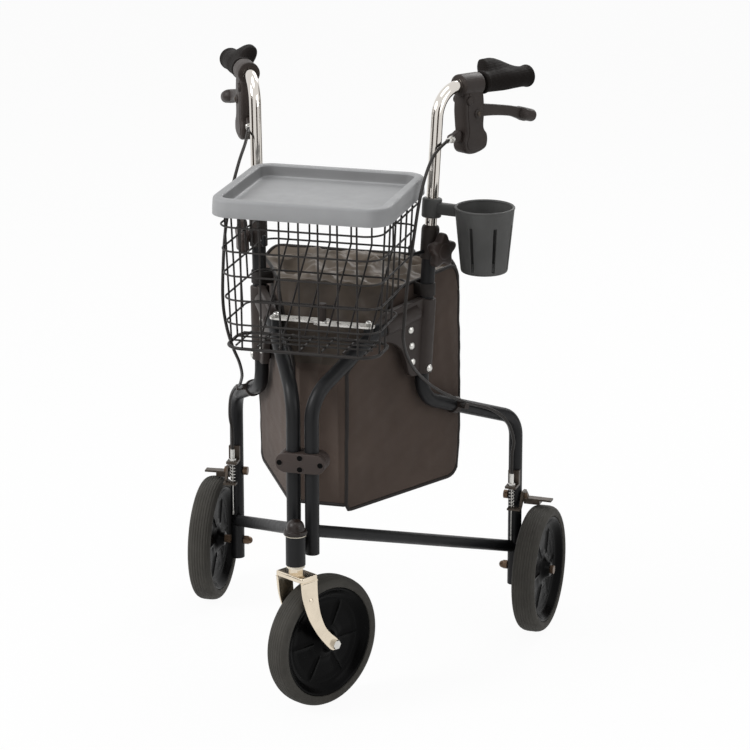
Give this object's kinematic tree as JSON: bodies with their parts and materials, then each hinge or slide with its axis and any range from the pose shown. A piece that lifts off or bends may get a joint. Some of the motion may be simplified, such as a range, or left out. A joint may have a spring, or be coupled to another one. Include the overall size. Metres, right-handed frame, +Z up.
{
  "type": "three wheel rollator",
  "caption": "Folding three wheel rollator with a swivel caster, adjustable handles, hand brakes, wire basket, tray, bag and cup holder.",
  "frame": {"origin": "on the floor, at the centre of the bounding box", "axes": "+Z up, the caster points to -Y, the user stands at +Y"},
  "size_m": [0.6054, 0.597, 0.9366],
  "materials": {
    "frame_paint": "gloss",
    "chrome": "polished",
    "bright_steel": "satin",
    "brake_steel": "satin",
    "moulded_black": "matte",
    "hub_plastic": "gloss",
    "tyre_rubber": "matte",
    "grip_rubber": "matte",
    "cable_sleeve": "satin",
    "bush_plastic": "matte",
    "basket_wire": "satin",
    "tray_plastic": "matte",
    "cup_plastic": "matte",
    "bag_fabric": "woven"
  },
  "bodies": {
    "left_frame": {"left_main_tube": "frame_paint", "left_front_post": "frame_paint", "left_lower_bar": "frame_paint", "left_side_bracket": "moulded_black", "left_rivets": "bright_steel", "left_tube_collar": "moulded_black", "left_brake_cable": "cable_sleeve", "left_cable_clip": "moulded_black", "left_brake_bracket": "brake_steel", "left_cable_adjuster": "bright_steel", "left_brake_spring": "bright_steel", "left_rear_axle": "bright_steel", "head_tube": "frame_paint", "head_cap": "moulded_black", "head_bearings": "bush_plastic", "hinge_block_front": "moulded_black", "hinge_block_rear": "moulded_black", "hinge_screws": "brake_steel", "bag": "bag_fabric"},
    "right_frame": {"right_main_tube": "frame_paint", "right_front_post": "frame_paint", "right_lower_bar": "frame_paint", "right_side_bracket": "moulded_black", "right_rivets": "bright_steel", "right_tube_collar": "moulded_black", "right_brake_cable": "cable_sleeve", "right_cable_clip": "moulded_black", "right_brake_bracket": "brake_steel", "right_cable_adjuster": "bright_steel", "right_brake_spring": "bright_steel", "right_rear_axle": "bright_steel"},
    "left_handle": {"left_handle_tube": "chrome", "left_hand_grip": "grip_rubber", "left_brake_housing": "moulded_black"},
    "left_knob": {"left_star_knob": "moulded_black"},
    "left_lever": {"left_brake_lever": "moulded_black"},
    "left_arm": {"left_brake_arm": "brake_steel"},
    "left_wheel": {"left_rear_hub": "hub_plastic", "left_rear_tyre": "tyre_rubber"},
    "right_handle": {"right_handle_tube": "chrome", "right_hand_grip": "grip_rubber", "right_brake_housing": "moulded_black", "cup_holder": "cup_plastic"},
    "right_knob": {"right_star_knob": "moulded_black"},
    "right_lever": {"right_brake_lever": "moulded_black"},
    "right_arm": {"right_brake_arm": "brake_steel"},
    "right_wheel": {"right_rear_hub": "hub_plastic", "right_rear_tyre": "tyre_rubber"},
    "caster": {"caster_fork": "chrome", "front_axle": "bright_steel"},
    "front_wheel": {"front_hub": "hub_plastic", "front_tyre": "tyre_rubber"},
    "left_brace": {"brace_left": "chrome", "brace_pull": "moulded_black"},
    "right_brace": {"brace_right": "chrome"},
    "basket": {"basket_front": "basket_wire", "basket_sides": "basket_wire", "basket_back": "basket_wire", "basket_floor": "basket_wire"},
    "tray": {"tray": "tray_plastic"}
  },
  "joints": [
    {"name": "frame_fold", "type": "hinge", "parent": "left_frame", "child": "right_frame", "pos_m": [0.0145, -0.21005, 0.385], "axis": [0, 0, 1], "range_deg": [0, 50], "deforming": ["bag"]},
    {"name": "left_handle_height", "type": "slide", "parent": "left_frame", "child": "left_handle", "axis": [-0.0374, 0.069, 0.9969], "range_m": [-0.04, 0.055], "deforming": ["left_brake_cable"]},
    {"name": "left_knob_turn", "type": "hinge", "parent": "left_frame", "child": "left_knob", "pos_m": [-0.15326, 0.00779, 0.676], "axis": [-0.8788, -0.4772, 0], "range_deg": [0, 360]},
    {"name": "left_lever_squeeze", "type": "hinge", "parent": "left_handle", "child": "left_lever", "pos_m": [-0.18151, 0.09754, 0.874], "axis": [0.8788, 0.4772, 0], "range_deg": [0, 14], "stiffness_Nm_per_rad": 1.5, "springref_deg": -5.73},
    {"name": "left_brake_rock", "type": "hinge", "parent": "left_frame", "child": "left_arm", "pos_m": [-0.23542, 0.19684, 0.224], "axis": [-0.9986, -0.0523, 0], "range_deg": [0, 8], "deforming": ["left_brake_spring"]},
    {"name": "left_wheel_spin", "type": "hinge", "parent": "left_frame", "child": "left_wheel", "pos_m": [-0.27697, 0.19467, 0.103], "axis": [0.9986, 0.0523, 0], "continuous": true},
    {"name": "right_handle_height", "type": "slide", "parent": "right_frame", "child": "right_handle", "axis": [0.0374, 0.069, 0.9969], "range_m": [-0.006, 0.055], "deforming": ["right_brake_cable"]},
    {"name": "right_knob_turn", "type": "hinge", "parent": "right_frame", "child": "right_knob", "pos_m": [0.15326, 0.00779, 0.676], "axis": [0.8788, -0.4772, 0], "range_deg": [0, 360]},
    {"name": "right_lever_squeeze", "type": "hinge", "parent": "right_handle", "child": "right_lever", "pos_m": [0.18151, 0.09754, 0.874], "axis": [0.8788, -0.4772, 0], "range_deg": [0, 14], "stiffness_Nm_per_rad": 1.5, "springref_deg": -5.73},
    {"name": "right_brake_rock", "type": "hinge", "parent": "right_frame", "child": "right_arm", "pos_m": [0.23542, 0.19684, 0.224], "axis": [-0.9986, 0.0523, 0], "range_deg": [0, 8], "deforming": ["right_brake_spring"]},
    {"name": "right_wheel_spin", "type": "hinge", "parent": "right_frame", "child": "right_wheel", "pos_m": [0.27697, 0.19467, 0.103], "axis": [0.9986, -0.0523, 0], "continuous": true},
    {"name": "caster_swivel", "type": "hinge", "parent": "left_frame", "child": "caster", "pos_m": [0, -0.25005, 0.25], "axis": [0, 0, 1], "continuous": true},
    {"name": "front_wheel_spin", "type": "hinge", "parent": "caster", "child": "front_wheel", "pos_m": [0.027, -0.20328, 0.103], "axis": [-0.866, 0.5, 0], "continuous": true},
    {"name": "left_brace_turn", "type": "hinge", "parent": "left_frame", "child": "left_brace", "pos_m": [-0.07319, -0.10196, 0.577], "axis": [0, 0, 1], "range_deg": [-64.4, 0]},
    {"name": "right_brace_turn", "type": "hinge", "parent": "right_frame", "child": "right_brace", "pos_m": [0.07319, -0.10196, 0.574], "axis": [0, 0, 1], "range_deg": [0, 31.4]},
    {"name": "basket_lift", "type": "slide", "parent": "left_frame", "child": "basket", "axis": [0, -0.5736, 0.8192], "range_m": [0, 0.24]},
    {"name": "tray_lift", "type": "slide", "parent": "basket", "child": "tray", "axis": [0, 0, 1], "range_m": [0, 0.08]}
  ],
  "couplings": [
    {"joint": "left_brace_turn", "follows": "frame_fold", "ratio": -1.288},
    {"joint": "right_brace_turn", "follows": "frame_fold", "ratio": 0.628},
    {"joint": "basket_lift", "follows": "frame_fold", "m_per_rad": 0.27502},
    {"joint": "left_brake_rock", "follows": "left_lever_squeeze", "ratio": 0.57143},
    {"joint": "right_brake_rock", "follows": "right_lever_squeeze", "ratio": 0.57143}
  ]
}
